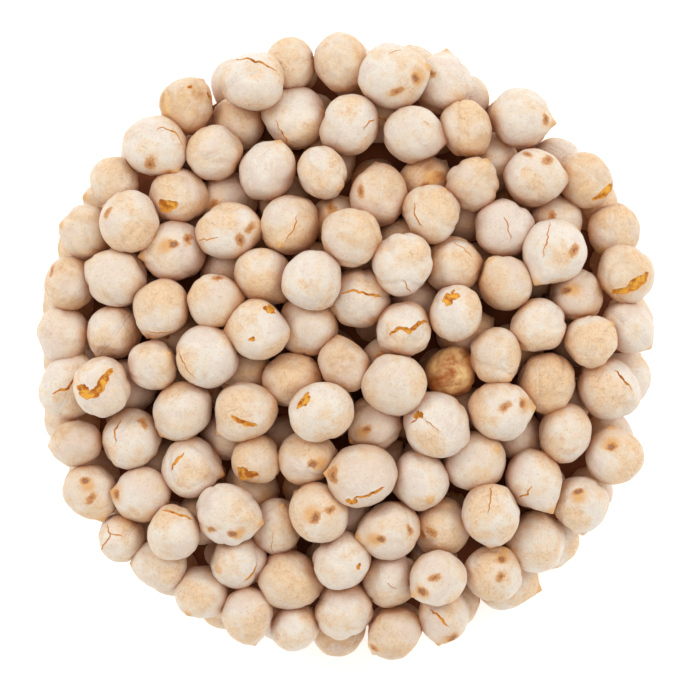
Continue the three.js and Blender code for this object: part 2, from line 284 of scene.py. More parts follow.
def keep_inside(pea):
    out = math.sqrt(pea["x"] * pea["x"] + pea["y"] * pea["y"])
    reach = HEAP_RADIUS - TOP_SET_BACK - pea["radius"]
    if out > reach:
        pea["x"] *= reach / out
        pea["y"] *= reach / out


def foot_course(draw):
    """The course that stands on the table. Each pea takes as much of the way round the foot as it is wide."""
    spread = WIDEST_FOOT_PEA - NARROWEST_FOOT_PEA
    widths = [NARROWEST_FOOT_PEA + spread * draw() for _ in range(FOOT_PEAS)]
    peas = []
    taken = 0
    for width in widths:
        angle = (2 * math.pi * (taken + width / 2)) / sum(widths)
        taken += width
        radius = width / 2
        out = FOOT_RADIUS - radius - FOOT_SET_BACK * draw()
        place = {"x": out * math.cos(angle), "y": out * math.sin(angle), "z": radius * CLEAR_OF_TABLE}
        peas.append({**place, "radius": radius, **any_pose(draw), "foot": True, "give": 0})
    return peas


def settle(top, foot):
    """Sets the top peas on the even surface, then moves apart those that cross."""
    for pea in top:
        pea["rest"] = surface_height(pea["x"], pea["y"]) - pea["radius"] + pea["level"]
        pea["z"] = pea["rest"]
    peas = top + foot
    for turn in range(SETTLING_ROUNDS):
        for i, pea in enumerate(top):
            for other in peas[i + 1 :]:
                move_apart(pea, other)
        for pea in top:
            if turn < SETTLING_ROUNDS - 1:
                pea["z"] += RETURN_SHARE * (pea["rest"] - pea["z"])
            pea["z"] = max(min(pea["z"], pea["rest"] + MOST_RISE), pea["radius"] * CLEAR_OF_TABLE)
            if pea["give"] == 1:
                keep_inside(pea)


def move_apart(a, b):
    reach = PINCH * (a["radius"] + b["radius"])
    dx, dy, dz = a["x"] - b["x"], a["y"] - b["y"], a["z"] - b["z"]
    if abs(dx) >= reach or abs(dy) >= reach:
        return
    apart = math.sqrt(dx * dx + dy * dy + dz * dz)
    if apart >= reach or apart == 0:
        return
    push = (reach - apart) / apart / (a["give"] + b["give"])
    for pea, move in ((a, push * a["give"]), (b, -push * b["give"])):
        pea["z"] += move * dz
        if pea["give"] == 1:
            pea["x"] += move * dx
            pea["y"] += move * dy


def lower_peas(laid, draw):
    """Peas in the room that is left between those that are laid and under them, the highest first."""
    radius = PEA_WIDTH / 2
    line = np.arange(-HEAP_RADIUS, HEAP_RADIUS, LOWER_STEP)
    levels = np.arange(radius, MIDDLE_HEIGHT, LOWER_STEP)
    x, y, z = (side.ravel() for side in np.meshgrid(line, line, levels, indexing="ij"))
    cover = surface_height(x, y) - radius - z
    tried = (np.hypot(x, y) <= HEAP_RADIUS - radius - TOP_SET_BACK) & (cover >= 0) & (cover <= DEEPEST)
    places = np.stack([x, y, z], axis=1)[tried]
    cover = cover[tried]
    for pea in laid:
        away = np.linalg.norm(places - middle_of(pea), axis=1)
        cover[away < LOWER_PINCH * (pea["radius"] + radius)] = np.inf
    lower = []
    while cover.min() < np.inf:
        best = places[int(np.argmin(cover))]
        x, y, z = (float(value) for value in best)
        width = radius * (SMALLEST_LOWER + LOWER_SPREAD * draw())
        lower.append({"x": x, "y": y, "z": z, "radius": width, **any_pose(draw), "lower": True})
        cover[np.linalg.norm(places - best, axis=1) < 2 * radius * LOWER_PINCH] = np.inf
    return lower


def middle_of(pea):
    return np.array([pea["x"], pea["y"], pea["z"]])


def heap_peas():
    draw = drawer(SEED)
    top = top_layer(draw)
    foot = foot_course(draw)
    settle(top, foot)
    return top + foot + lower_peas(top + foot, draw)


# ======== The peas ========

# Shape, as shares of a pea's radius.
PEA_STRETCH = np.array([1.03, 1.0, 0.97])
BEAK_LEAN = math.radians(14)  # of the beak's tip, to the belly
BEAK_TIP = np.array([math.cos(BEAK_LEAN), 0, -math.sin(BEAK_LEAN)])
BEAK_REFINED = math.cos(0.4)  # the faces are halved this near the tip
BEAK_RISE, BEAK_SPREAD, BEAK_SHARPNESS = 0.2, 0.16, 1.2
BLUNTEST_BEAK, BEAK_VARIETY = 0.5, 0.75  # of the rise
BEAK_ROOT_RISE, BEAK_ROOT_SPREAD = 0.05, 0.5
PUCKER_DEPTH, PUCKER_SPREAD, PUCKERS = 0.012, 0.4, 7  # creases that run to the beak
FURROW_DEPTH, FURROW_SPREAD = 0.04, 0.13
LOBE_RISE, LOBE_PLACE, LOBE_SPREAD = 0.02, 0.45, 0.3
UNEVEN_STRETCH = 0.055
LUMPS = ((0.042, 1.5), (0.018, 3.2), (0.008, 8))  # height and how many across
FLATS, FLAT_LEAST, FLAT_SOFTNESS = 5, 0.9, 0.012  # sides that dried flat: how many, how near the middle
FOLD_DEPTH, FOLD_SPREAD, FOLDS_ACROSS = 0.08, 0.5, 1.6
CREASE_DEPTH, CREASE_SPREAD, CREASES_ACROSS, CREASED_ACROSS = 0.014, 0.1, 2.6, 1.5
# The third is how much browner the creases are drawn: painted shade in the creases.
TONE_UNEVENNESS, TONES_ACROSS, CREASE_PAINTED_SHADE = 0.35, 2.0, 0.5
BEAK_TINT_SPREAD = 0.3

# Marks, in mm.
OPEN_DEPTH = 0.35
OPEN_FLOOR, OPEN_FLOOR_ACROSS = 0.15, 9  # unevenness of the depth
LIP_RISE, LIP_SPREAD = 0.06, 0.22
CRACK_STEP = 0.55  # between a crack's bends
CRACK_STRAY = 0.16  # of a crack, to each side of its line
WILD_STRAY, WILD_SHARE = 1.6, 0.25  # how much farther some bends stray, and how many do
HOLE_WAVES = ((0.22, 2), (0.16, 3), (0.1, 5), (0.06, 9))  # of its ragged edge: share of the width, how many
EYE_RIM_RISE, EYE_RIM_SPREAD = 0.07, 0.45
EYE_PIT_DEPTH, EYE_PIT_SPREAD = 0.1, 0.5
VIEW_EDGE = 0.97  # of the radius: a mark seen from above lies no farther out
EYE_WIDTH, EYE_OVAL = 2.0, 0.15
SPOT_WIDTH, SPOT_OVAL = 1.85, 0.28
LEAST_MARK = 0.7  # of an eye's or a spot's width
SMUDGE_LEAN = 0.2  # of the way from the eye to the beak
SEAM_DEPTH, SEAM_SPREAD = 0.08, 0.5  # between the eye and the spot
CROWDING_REACH = 2.6  # in pea radii, how far off another pea still darkens the skin with painted shade
FAR = 3.0  # a mark this far away isn't felt

TOP_PEA_POINTS = 1700
FOOT_PEA_POINTS = 1100
LOWER_PEA_POINTS = 380
REFINED = ((0.45, 1.4), (0.22, 0.9), (0.1, 0.0))  # each halving's reach round openings, round eyes and spots


def ball(count):
    """Points spread evenly over a unit sphere, and the triangles between them."""
    index = np.arange(count) + 0.5
    height = 1 - 2 * index / count
    turn = math.pi * (1 + math.sqrt(5)) * index
    flat = np.sqrt(1 - height**2)
    points = np.stack([flat * np.cos(turn), flat * np.sin(turn), height], axis=1)
    mesh = bmesh.new()
    for point in points:
        mesh.verts.new(point)
    bmesh.ops.convex_hull(mesh, input=mesh.verts)
    mesh.verts.index_update()
    faces = np.array([[vert.index for vert in face.verts] for face in mesh.faces])
    mesh.free()
    return points, faces


def halve(points, faces, near):
    """Halves each edge that has an end where near is true, and splits the faces to match."""
    ends = np.sort(faces[:, [[0, 1], [1, 2], [2, 0]]].reshape(-1, 2), axis=1)
    edges, edge_of = np.unique(ends, axis=0, return_inverse=True)
    cut = near[edges].any(axis=1)
    middle = np.full(len(edges), -1)
    middle[cut] = len(points) + np.arange(np.count_nonzero(cut))
    added = points[edges[cut]].mean(axis=1)
    added /= np.linalg.norm(added, axis=1, keepdims=True)
    split = []
    for corners, middles in zip(faces.tolist(), middle[edge_of].reshape(-1, 3).tolist()):
        split.extend(split_face(corners, middles))
    return np.concatenate([points, added]), np.array(split)


def split_face(corners, middles):
    cut = [m >= 0 for m in middles]
    if not any(cut):
        return [corners]
    if all(cut):
        a, b, c = corners
        ab, bc, ca = middles
        return [[a, ab, ca], [ab, b, bc], [ca, bc, c], [ab, bc, ca]]
    # turned so that the one cut edge, or the one uncut edge, comes first
    turn = cut.index(True) if sum(cut) == 1 else cut.index(False)
    a, b, c = corners[turn:] + corners[:turn]
    ab, bc, ca = middles[turn:] + middles[:turn]
    if sum(cut) == 1:
        return [[a, ab, c], [ab, b, c]]
    return [[c, ca, bc], [a, b, bc], [a, bc, ca]]


def bump(away, spread):
    """1 at the middle, falling smoothly to nothing."""
    return np.exp(-((away / spread) ** 2))


def step(start, end, value):
    share = np.clip((value - start) / (end - start), 0, 1)
    return share * share * (3 - 2 * share)


def waves(points, across, draw, count=7):
    """A smooth uneven field on the sphere, about -1 to 1, with this many hills across."""
    total = np.zeros(len(points))
    for _ in range(count):
        way = np.array([2 * draw() - 1, 2 * draw() - 1, 2 * draw() - 1])
        way *= across * (0.7 + 0.6 * draw()) / max(np.linalg.norm(way), 0.1)
        total += np.sin(points @ way * 2 + 2 * math.pi * draw())
    return total / math.sqrt(count)


def turned(pea):
    """The pea's axes in the heap's frame, as columns: roll about the beak, then pitch, then turn."""
    angles = (math.radians(pea["roll"]), math.radians(-pea["pitch"]), math.radians(pea["turn"]))
    return np.array(Euler(angles, "XYZ").to_matrix())


def seen_place(pea, place):
    """The direction, in the pea's own frame, of a place that is seen on it from above."""
    x, y = place
    flat = math.hypot(x, y)
    most = VIEW_EDGE * pea["radius"]
    if flat > most:
        x, y, flat = x * most / flat, y * most / flat, most
    way = np.array([x, y, math.sqrt(pea["radius"] ** 2 - flat**2)]) / pea["radius"]
    return way @ turned(pea)


def crack_line(pea, places, draw):
    """The crack's course as directions, with strays to each side, and its share of the full width there."""
    ends = [seen_place(pea, place) for place in places]
    line, widths = [], []
    lengths = [np.linalg.norm(b - a) for a, b in zip(ends, ends[1:])]
    done = 0
    for a, b, length in zip(ends, ends[1:], lengths):
        steps = max(2, round(length * pea["radius"] / CRACK_STEP))
        side = np.cross(a, b)
        side /= max(np.linalg.norm(side), 1e-6)
        for i in range(steps):
            share = i / steps
            stray = CRACK_STRAY / pea["radius"] * (2 * draw() - 1)
            stray *= WILD_STRAY if draw() < WILD_SHARE else 1
            point = a + (b - a) * share + side * stray
            line.append(point / np.linalg.norm(point))
            along = (done + length * share) / sum(lengths)
            widths.append((math.sin(math.pi * (0.06 + 0.9 * along)) ** 0.6) * (0.7 + 0.6 * draw()))
        done += length
    line.append(ends[-1])
    widths.append(0.1)
    return np.array(line), widths


def make_marks(pea, draw):
    """Each mark as what measure_marks needs: all that is drawn at random is drawn here, once."""
    made = []
    for name, *facts in pea.get("marks", []):
        if name == "crack":
            line, widths = crack_line(pea, facts[1:], draw)
            made.append(("crack", facts[0], line, widths))
        elif name == "hole":
            middle = seen_place(pea, facts[1])
            made.append(("hole", facts[0] / 2, middle, [2 * math.pi * draw() for _ in HOLE_WAVES]))
        else:
            size = LEAST_MARK + (1 - LEAST_MARK) * draw()
            made.append((name, seen_place(pea, facts[0]), size, 2 * math.pi * draw()))
    eyes = [facts[0] for name, *facts in made if name == "eye"]
    spots = [facts[0] for name, *facts in made if name == "spot"]
    made += [("seam", eye, spot) for eye, spot in zip(eyes, spots)]
    return made


def measure_marks(points, radius, marks):
    """For each point: how far it lies inside an opening in the skin and from a seam, in mm, and from the
    nearest eye, smudge and spot, in halves of their width. A smudge lies between its eye and the beak."""
    opened = np.full(len(points), -FAR)
    eye, smudge, spot, seam = (np.full(len(points), FAR) for _ in range(4))
    for name, *facts in marks:
        if name == "crack":
            width, line, widths = facts
            for a, b, wide_a, wide_b in zip(line, line[1:], widths, widths[1:]):
                share, away = from_line(points, a, b)
                half = width / 2 * (wide_a + (wide_b - wide_a) * share)
                opened = np.maximum(opened, half - away * radius)
        elif name == "seam":
            seam = from_line(points, *facts)[1] * radius
        elif name == "hole":
            half, middle, turns = facts
            across, up = side_ways(middle)
            bearing = np.arctan2(points @ up, points @ across)
            ragged = 1 + sum(
                share * np.sin(count * bearing + turn) for (share, count), turn in zip(HOLE_WAVES, turns)
            )
            away = np.linalg.norm(points - middle, axis=1) * radius
            opened = np.maximum(opened, half * ragged - away)
        else:
            middle, size, turn = facts
            away = np.linalg.norm(points - middle, axis=1) * radius
            across, up = side_ways(middle)
            slant = np.sin(2 * np.arctan2(points @ up, points @ across) + turn)
            if name == "eye":
                half = size * EYE_WIDTH / 2 * (1 + EYE_OVAL * slant)
                eye = np.minimum(eye, away / half)
                beside = middle + SMUDGE_LEAN * (BEAK_TIP - middle)
                away = np.linalg.norm(points - beside / np.linalg.norm(beside), axis=1) * radius
                smudge = np.minimum(smudge, away / half)
            else:
                half = size * SPOT_WIDTH / 2 * (1 + SPOT_OVAL * slant)
                spot = np.minimum(spot, away / half)
    return opened, eye, smudge, spot, seam


def from_line(points, a, b):
    """For each point, the share of the line from a to b at which it comes nearest, and how far off it is."""
    way = b - a
    share = np.clip((points - a) @ way / (way @ way), 0, 1)
    return share, np.linalg.norm(points - a - share[:, None] * way, axis=1)


def side_ways(middle):
    """Two directions square to this one and to each other."""
    across = np.cross(middle, [0, 0, 1] if abs(middle[2]) < 0.9 else [0, 1, 0])
    across /= np.linalg.norm(across)
    return across, np.cross(middle, across)


def any_way(draw):
    """A direction at random: the first point of a cube that also lies in the ball."""
    while True:
        way = np.array([2 * draw() - 1, 2 * draw() - 1, 2 * draw() - 1])
        length = np.linalg.norm(way)
        if 0.1 < length < 1:
            return way / length


def flattening(points, draw):
    """How far each point of a unit ball lies in where the pea has dried flat. The edges are soft."""
    drop = np.zeros(len(points))
    for _ in range(FLATS):
        reach = FLAT_LEAST + (1 - FLAT_LEAST) * draw()
        past = 1 - reach / np.maximum(points @ any_way(draw), 0.2)
        drop = np.maximum(drop, FLAT_SOFTNESS * np.log1p(np.exp(past / FLAT_SOFTNESS)))
    return drop


FIRST_PEA_SEED, PEA_SEED_STEP = 7001, 131


def pea_mesh(pea, number, grain, near_peas):
    """The points of one pea in the heap's frame, its triangles, and its fields for the material."""
    points, faces = halve(*grain, grain[0] @ BEAK_TIP > BEAK_REFINED)
    radius = pea["radius"]
    draw = drawer(FIRST_PEA_SEED + PEA_SEED_STEP * number)
    marks = make_marks(pea, draw)
    if marks:
        for open_reach, mark_reach in REFINED:
            opened, eye, _, spot, _ = measure_marks(points, radius, marks)
            near = (opened > -open_reach) | (np.minimum(eye, spot) * SPOT_WIDTH / 2 < mark_reach)
            if near.any():
                points, faces = halve(points, faces, near)
    opened, eye, smudge, spot, seam = measure_marks(points, radius, marks)

    x, y, z = points.T
    from_tip = np.arccos(np.clip(points @ BEAK_TIP, -1, 1))
    back = step(-0.2, 0.6, z) * step(-1.0, -0.5, x)  # the upper half, but for the end away from the beak
    sharp = BLUNTEST_BEAK + BEAK_VARIETY * draw()
    tip = np.exp(-((from_tip / BEAK_SPREAD) ** BEAK_SHARPNESS))
    share = 1 - flattening(points, draw) + BEAK_ROOT_RISE * bump(from_tip, BEAK_ROOT_SPREAD)
    share += sharp * BEAK_RISE * tip
    bearing = np.arctan2(y, z)
    puckers = np.cos(PUCKERS * bearing + sharp) * bump(from_tip - PUCKER_SPREAD, PUCKER_SPREAD / 2)
    share += PUCKER_DEPTH * puckers
    share -= FURROW_DEPTH * (0.4 + draw()) * back * bump(y, FURROW_SPREAD)
    share += LOBE_RISE * back * bump(abs(y) - LOBE_PLACE, LOBE_SPREAD)
    for rise, across in LUMPS:
        share += rise * waves(points, across, draw)
    fold = abs(waves(points, FOLDS_ACROSS, draw, 4))
    share -= FOLD_DEPTH * (0.15 + draw() ** 2) * (1 - np.minimum(fold / FOLD_SPREAD, 1)) ** 2
    creased = max(0.0, pea["tone"]) + 0.15
    crease = bump(waves(points, CREASES_ACROSS, draw), CREASE_SPREAD)
    crease *= step(-0.2, 0.8, waves(points, CREASED_ACROSS, draw))
    share -= CREASE_DEPTH * creased * crease

    height = -OPEN_DEPTH * step(-0.03, 0.3, opened)
    height *= 1 + OPEN_FLOOR * waves(points, OPEN_FLOOR_ACROSS, draw)
    height += LIP_RISE * bump(np.minimum(opened, 0), LIP_SPREAD) * step(0.05, -0.02, opened)
    height += EYE_RIM_RISE * bump(eye - 1, EYE_RIM_SPREAD) - EYE_PIT_DEPTH * bump(eye, EYE_PIT_SPREAD)
    height -= SEAM_DEPTH * bump(seam, SEAM_SPREAD)
    stretch = PEA_STRETCH * [1 + UNEVEN_STRETCH * (2 * draw() - 1) for _ in range(3)]
    place = points * (share + height / radius)[:, None] * radius * stretch
    place = place @ turned(pea).T + middle_of(pea)
    lowest = place[:, 2].min()
    if kind_of(pea) == "foot" or lowest < 0:
        place[:, 2] -= lowest

    outward = points @ turned(pea).T
    # Painted shade: how much of each point's view the neighbouring peas block, which the material draws as
    # browner skin.
    painted_crowding_shade = np.zeros(len(points))
    for other in near_peas:
        way = middle_of(other) - place
        away = np.linalg.norm(way, axis=1)
        facing = np.maximum((way * outward).sum(axis=1) / away, 0)
        painted_crowding_shade += facing * (other["radius"] / np.maximum(away, other["radius"])) ** 2
    uneven_tone = TONE_UNEVENNESS * waves(points, TONES_ACROSS, draw)
    fields = {
        "opened": opened,
        "eye": eye,
        "smudge": smudge,
        "spot": spot,
        "seam": seam,
        # The creases are drawn browner: painted shade in the creases.
        "tone": pea["tone"] + uneven_tone + CREASE_PAINTED_SHADE * creased * crease,
        "beak": bump(from_tip, BEAK_TINT_SPREAD),
        "painted_crowding_shade": painted_crowding_shade,
        "across": y,
        "back": back,
        "hue": np.full(len(points), 2 * draw() - 1),
    }
    return place, faces, fields


# ======== The kinds of pea, one piece for each ========

WIDEST_HAIRLINE, WIDEST_CRACK = 0.27, 1.2  # mm
CREASED_TONE, TOASTED_TONE = 0.1, 1.5  # the least

# Looks at random, for the peas that aren't noted. Lengths are mm or, where it says so, shares of the radius.
TONE_SPREAD, TONE_SHIFT, LOW_PAINTED_SHADE_TONE = 1.5, 0.8, 0.35
SHARE_CRACKED, SHARE_TORN, SHARE_EYED, SHARE_SPOTTED = 0.12, 0.04, 0.05, 0.06
MARK_REACH = 0.62  # of the radius, from the middle
NARROWEST_CRACK, CRACK_SPREAD = 0.12, 0.3
HALF_CRACK, HALF_CRACK_SPREAD = 0.25, 0.3  # of the radius, half a crack's length
MOST_BEND = 0.3  # of half a crack's length
NARROWEST_TEAR, TEAR_SPREAD = 0.8, 1.4
EYE_TO_SPOT, EYE_TO_SPOT_TURN = 2.6, 2  # mm, and radians


def draw_looks(peas):
    """Gives tones and marks to the peas that aren't noted. GAP_MARKS replace a pea's random marks."""
    draw = drawer(SEED + 1)
    for pea in peas:
        if not pea.get("noted"):
            low = pea.get("lower") or pea.get("foot")
            # Lower and foot peas are drawn browner: painted shade for their place deep in the heap.
            pea["tone"] = (TONE_SPREAD * draw() - TONE_SHIFT) + (LOW_PAINTED_SHADE_TONE if low else 0)
            pea["marks"] = random_marks(pea["radius"], low, draw)
    for name, *facts in GAP_MARKS:
        pea = uppermost(peas, *facts[-1])
        if not pea.get("noted"):
            pea.setdefault("seen_marks", []).append((name, *(from_middle(pea, fact) for fact in facts)))
    for pea in peas:
        pea["marks"] = pea.get("seen_marks", pea["marks"])


def random_marks(radius, low, draw):
    """A few peas are cracked or torn, and a few low in the heap show an eye and a spot, or a spot."""
    kind = draw()
    reach = radius * MARK_REACH * draw()
    bearing = 2 * math.pi * draw()
    x, y = reach * math.cos(bearing), reach * math.sin(bearing)
    if kind < SHARE_CRACKED:
        return [random_crack(x, y, radius, draw)]
    if kind < SHARE_CRACKED + SHARE_TORN:
        return [("hole", NARROWEST_TEAR + TEAR_SPREAD * draw(), (x, y))]
    if low and kind < SHARE_CRACKED + SHARE_TORN + SHARE_EYED:
        beside = bearing + EYE_TO_SPOT_TURN
        spot = (x + EYE_TO_SPOT * math.cos(beside), y + EYE_TO_SPOT * math.sin(beside))
        return [("eye", (x, y)), ("spot", spot)]
    if low and kind < SHARE_CRACKED + SHARE_TORN + SHARE_EYED + SHARE_SPOTTED:
        return [("spot", (x, y))]
    return []


def random_crack(x, y, radius, draw):
    turn = 2 * math.pi * draw()
    half = radius * (HALF_CRACK + HALF_CRACK_SPREAD * draw())
    bend = half * (2 * MOST_BEND * draw() - MOST_BEND)
    dx, dy = math.cos(turn), math.sin(turn)
    start, end = (x - half * dx, y - half * dy), (x + half * dx, y + half * dy)
    return ("crack", NARROWEST_CRACK + CRACK_SPREAD * draw() ** 2, start, (x - bend * dy, y + bend * dx), end)


def from_middle(pea, fact):
    """A mark's place as it lies from the pea's own middle. A width stays as it is."""
    return (fact[0] - pea["x"], fact[1] - pea["y"]) if isinstance(fact, tuple) else fact


def uppermost(peas, x, y):
    """The pea that shows from above at this place."""
    there = [pea for pea in peas if distance(x, y, pea) < pea["radius"]]
    return max(there, key=lambda pea: pea["z"] + math.sqrt(pea["radius"] ** 2 - distance(x, y, pea) ** 2))


def kind_of(pea):
    """Which piece the pea is part of."""
    for kind in ("foot", "lower"):
        if pea.get(kind):
            return kind
    if pea["tone"] > TOASTED_TONE:
        return "toasted"
    cracks = [mark[1] for mark in pea["marks"] if mark[0] == "crack"]
    names = [mark[0] for mark in pea["marks"]]
    if "hole" in names or max(cracks, default=0) > WIDEST_CRACK:
        return "torn"
    if cracks:
        return "cracked" if max(cracks) > WIDEST_HAIRLINE else "hairline_cracked"
    for mark, kind in (("eye", "eyed"), ("spot", "spotted")):
        if mark in names:
            return kind
    return "creased" if pea["tone"] > CREASED_TONE else "smooth"


def mesh_object(name, points, faces, fields):
    """One piece, in metres, with its fields as float attributes of its points."""
    mesh = bpy.data.meshes.new(name)
    mesh.vertices.add(len(points))
    mesh.vertices.foreach_set("co", (points * MM).astype(np.float32).ravel())
    mesh.loops.add(len(faces) * 3)
    mesh.loops.foreach_set("vertex_index", faces.astype(np.int32).ravel())
    mesh.polygons.add(len(faces))
    mesh.polygons.foreach_set("loop_start", np.arange(0, len(faces) * 3, 3, dtype=np.int32))
    mesh.update(calc_edges=True)
    mesh.validate()
    mesh.shade_smooth()
    for field, values in fields.items():
        layer = mesh.attributes.new(field, "FLOAT", "POINT")
        layer.data.foreach_set("value", values.astype(np.float32))
    piece = bpy.data.objects.new(name, mesh)
    bpy.context.collection.objects.link(piece)
    return piece


def is_near(a, b):
    apart = math.dist(middle_of(a), middle_of(b))
    return apart < a["radius"] + CROWDING_REACH * b["radius"]


def make_pieces(peas):
    top_grain = ball(TOP_PEA_POINTS)
    grains = {"foot": ball(FOOT_PEA_POINTS), "lower": ball(LOWER_PEA_POINTS)}
    kinds = {}
    for number, pea in enumerate(peas):
        grain = grains.get(kind_of(pea), top_grain)
        near_peas = [other for other in peas if other is not pea and is_near(pea, other)]
        kinds.setdefault(kind_of(pea), []).append(pea_mesh(pea, number, grain, near_peas))
    pieces = {}
    for kind, made in kinds.items():
        starts = np.cumsum([0] + [len(points) for points, _, _ in made])
        points = np.concatenate([points for points, _, _ in made])
        faces = np.concatenate([faces + start for (_, faces, _), start in zip(made, starts)])
        fields = {name: np.concatenate([each[name] for _, _, each in made]) for name in made[0][2]}
        pieces[kind] = mesh_object(f"chickpeas_{kind}", points, faces, fields)
    return pieces


def make_core():
    """A dark low dome under the lower peas, drawn in at its foot, so that no light comes through the heap."""
    points, faces = ball(CORE_POINTS)
    draw = drawer(SEED + 2)
    flat = np.linalg.norm(points[:, :2], axis=1)
    above, below = np.maximum(points[:, 2], 0), np.maximum(-points[:, 2], 0)
    out = (CORE_RADIUS + (CORE_FOOT_RADIUS - CORE_RADIUS) * below) * flat**CORE_FULLNESS
    dome = np.sqrt(above) * (surface_height(out, 0) - CORE_COVER - CORE_WAIST)
    height = CORE_WAIST * (1 - below) + dome * (1 + CORE_LUMPS * waves(points, CORE_LUMPS_ACROSS, draw))
    side = points[:, :2] * (out / np.maximum(flat, 1e-6))[:, None]
    place = np.stack([side[:, 0], side[:, 1], height + CORE_LIFT], axis=1)
    # Its dark brown is painted shade: it stands in for shaded peas deep in the heap.
    return mesh_object("heap_core", place, faces, {})


# ======== Materials ========


class Nodes:
    """Short names for the material nodes that are used here."""

    def __init__(self, name):
        self.material = bpy.data.materials.new(name)
        self.material.use_nodes = True
        self.tree = self.material.node_tree
        self.shader = self.tree.nodes["Principled BSDF"]

    def link(self, value, socket):
        if isinstance(value, bpy.types.NodeSocket):
            self.tree.links.new(value, socket)
        else:
            socket.default_value = value

    def field(self, name):
        node = self.tree.nodes.new("ShaderNodeAttribute")
        node.attribute_name = name
        return node.outputs["Fac"]

    def place(self):
        node = self.tree.nodes.new("ShaderNodeTexCoord")
        return node.outputs["Object"]

    def noise(self, scale, detail=4.0, roughness=0.6, distortion=0.0):
        """Noise with this many waves to the millimetre, about 0.5."""
        node = self.tree.nodes.new("ShaderNodeTexNoise")
        self.link(self.place(), node.inputs["Vector"])
        node.inputs["Scale"].default_value = scale / MM
        node.inputs["Detail"].default_value = detail
        node.inputs["Roughness"].default_value = roughness
        node.inputs["Distortion"].default_value = distortion
        return node.outputs["Fac"]

    def math(self, operation, a, b=0.0, c=0.0):
        node = self.tree.nodes.new("ShaderNodeMath")
        node.operation = operation
        for value, socket in zip((a, b, c), node.inputs):
            self.link(value, socket)
        return node.outputs["Value"]

    def within(self, value, start, end):
        """0 at start, 1 at end, and smooth between."""
        node = self.tree.nodes.new("ShaderNodeMapRange")
        node.interpolation_type = "SMOOTHSTEP"
        self.link(value, node.inputs["Value"])
        node.inputs["From Min"].default_value = min(start, end)
        node.inputs["From Max"].default_value = max(start, end)
        node.inputs["To Min"].default_value = 0.0 if start < end else 1.0
        node.inputs["To Max"].default_value = 1.0 if start < end else 0.0
        return node.outputs["Result"]

    def mix(self, share, a, b):
        node = self.tree.nodes.new("ShaderNodeMix")
        node.data_type = "RGBA"
        self.link(share, node.inputs[0])
        self.link(a, node.inputs[6])
        self.link(b, node.inputs[7])
        return node.outputs[2]

    def bump(self, height, distance, strength, normal=None):
        node = self.tree.nodes.new("ShaderNodeBump")
        self.link(height, node.inputs["Height"])
        node.inputs["Distance"].default_value = distance * MM
        node.inputs["Strength"].default_value = strength
        if normal is not None:
            self.link(normal, node.inputs["Normal"])
        return node.outputs["Normal"]


def paint(red, green, blue):
    """A colour given as it looks on a screen, 0 to 255, as Blender's linear colour."""
    parts = [part / 255 for part in (red, green, blue)]
    linear = [part / 12.92 if part <= 0.04045 else ((part + 0.055) / 1.055) ** 2.4 for part in parts]
    return (*linear, 1.0)


CREAM_SKIN = paint(239, 231, 219)
PINK_SKIN = paint(233, 211, 183)
BROWN_SKIN = paint(206, 156, 104)
YELLOW_SKIN = paint(239, 205, 162)
ROSY_SKIN = paint(230, 211, 198)
CHALK = paint(240, 230, 218)
LINE_TAN = paint(190, 144, 100)
MOTTLE_TAN = paint(216, 162, 116)
# Painted shade between crowded peas, warm brown and then darkest brown.
PAINTED_SHADE_BROWN = paint(188, 112, 28)
PAINTED_DEEP_SHADE_BROWN = paint(90, 34, 8)
TOASTED_SKIN = paint(166, 86, 30)
TOASTED_GOLD = paint(238, 200, 140)
SPOT_TAN = paint(200, 138, 82)
SPOT_DARK = paint(146, 82, 44)
EYE_SMUDGE = paint(226, 170, 98)
EYE_RING = paint(208, 142, 76)
EYE_DARK = paint(158, 102, 68)
EYE_MIDDLE = paint(168, 132, 112)
INSIDE_GOLD = paint(240, 178, 66)
INSIDE_EDGE = paint(218, 148, 66)
INSIDE_DEEP = paint(184, 102, 20)
# Painted shade: the core is drawn as dark as shaded peas deep in the heap.
CORE_PAINTED_SHADE_DARK = paint(92, 40, 12)
CORE_PAINTED_SHADE_BROWN = paint(140, 76, 34)


def line_at(n, value, middle, half):
    """1 where the value is at middle, falling to 0 at half to each side: a thin line along a contour."""
    return n.within(n.math("ABSOLUTE", n.math("SUBTRACT", value, middle)), half, 0.0)


